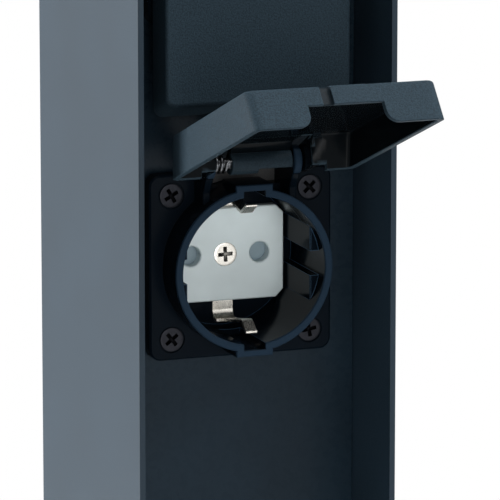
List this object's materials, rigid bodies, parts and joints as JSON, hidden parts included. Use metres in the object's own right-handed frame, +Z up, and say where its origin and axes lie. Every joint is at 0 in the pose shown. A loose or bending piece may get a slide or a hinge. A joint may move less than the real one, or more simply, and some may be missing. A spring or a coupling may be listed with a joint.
{
  "type": "outdoor socket post",
  "caption": "Anthracite aluminium garden post with an open front channel holding earthed mains sockets, each with a hinged, sprung lid.",
  "frame": {"origin": "centre of the base plate's underside, between its four anchor holes", "axes": "+Z up along the post, +Y to the post's back, the sockets and the open channel face -Y, +X to the right seen from the front"},
  "size_m": [0.11, 0.1632, 0.4],
  "materials": {
    "coated_aluminium": "anthracite fine-texture powder coat",
    "housing_plastic": "black moulded, glossy",
    "lid_plastic": "anthracite moulded, fine spark-eroded grain outside",
    "grey_plastic": "light grey moulded",
    "shutter_plastic": "blue-grey moulded",
    "seal_rubber": "black rubber",
    "nickel_plate": "bright nickel plate",
    "black_screw": "black passivated steel",
    "zinc_steel": "zinc-plated steel",
    "spring_steel": "bright drawn steel",
    "brass": "plain brass",
    "terminal_plastic": "light grey moulded",
    "brown_insulation": "brown insulation",
    "blue_insulation": "blue insulation",
    "green_yellow_insulation": "green and yellow insulation"
  },
  "bodies": {
    "post": {"post_shell": "coated_aluminium", "socket_panel": "coated_aluminium", "panel_screws": "zinc_steel", "base_plate": "coated_aluminium", "base_screws": "zinc_steel", "cable_grommet": "seal_rubber", "top_cap": "coated_aluminium", "cap_screws": "zinc_steel", "terminal_block": "terminal_plastic", "clamp_screws": "zinc_steel", "block_screws": "zinc_steel", "earth_stud": "brass", "earth_ring": "nickel_plate", "earth_nut": "brass", "live_wires": "brown_insulation", "neutral_wires": "blue_insulation", "earth_wires": "green_yellow_insulation", "lower_socket_housing": "housing_plastic", "lower_flange_seal": "seal_rubber", "lower_flange_screws": "black_screw", "lower_contact_face": "grey_plastic", "lower_centre_screw": "nickel_plate", "lower_shutter_spring": "spring_steel", "lower_contact_carrier": "housing_plastic", "lower_line_contacts": "brass", "lower_earth_clip": "nickel_plate", "lower_terminal_screws": "zinc_steel", "lower_rear_cover": "housing_plastic", "lower_hinge_pin": "spring_steel", "lower_lid_spring": "spring_steel", "upper_socket_housing": "housing_plastic", "upper_flange_seal": "seal_rubber", "upper_flange_screws": "black_screw", "upper_contact_face": "grey_plastic", "upper_centre_screw": "nickel_plate", "upper_shutter_spring": "spring_steel", "upper_contact_carrier": "housing_plastic", "upper_line_contacts": "brass", "upper_earth_clip": "nickel_plate", "upper_terminal_screws": "zinc_steel", "upper_rear_cover": "housing_plastic", "upper_hinge_pin": "spring_steel", "upper_lid_spring": "spring_steel"},
    "lower_lid": {"lower_lid": "lid_plastic"},
    "upper_lid": {"upper_lid": "lid_plastic"},
    "lower_shutter": {"lower_shutter": "shutter_plastic"},
    "upper_shutter": {"upper_shutter": "shutter_plastic"}
  },
  "joints": [
    {"name": "lower_lid_hinge", "type": "hinge", "parent": "post", "child": "lower_lid", "pos_m": [0, -0.0285, 0.248], "axis": [-1, 0, 0], "range_deg": [-110.5, 0], "stiffness_Nm_per_rad": 0.001, "springref_deg": -110.5, "deforming": ["lower_lid_spring"]},
    {"name": "upper_lid_hinge", "type": "hinge", "parent": "post", "child": "upper_lid", "pos_m": [0, -0.0285, 0.3361], "axis": [-1, 0, 0], "range_deg": [0, 110.5], "stiffness_Nm_per_rad": 0.001, "deforming": ["upper_lid_spring"]},
    {"name": "lower_shutter_turn", "type": "hinge", "parent": "post", "child": "lower_shutter", "pos_m": [0, -0.0047, 0.22], "axis": [0, 1, 0], "range_deg": [0, 37], "stiffness_Nm_per_rad": 0.002, "springref_deg": -11.46, "deforming": ["lower_shutter_spring"]},
    {"name": "upper_shutter_turn", "type": "hinge", "parent": "post", "child": "upper_shutter", "pos_m": [0, -0.0047, 0.3081], "axis": [0, 1, 0], "range_deg": [0, 37], "stiffness_Nm_per_rad": 0.002, "springref_deg": -11.46, "deforming": ["upper_shutter_spring"]}
  ]
}
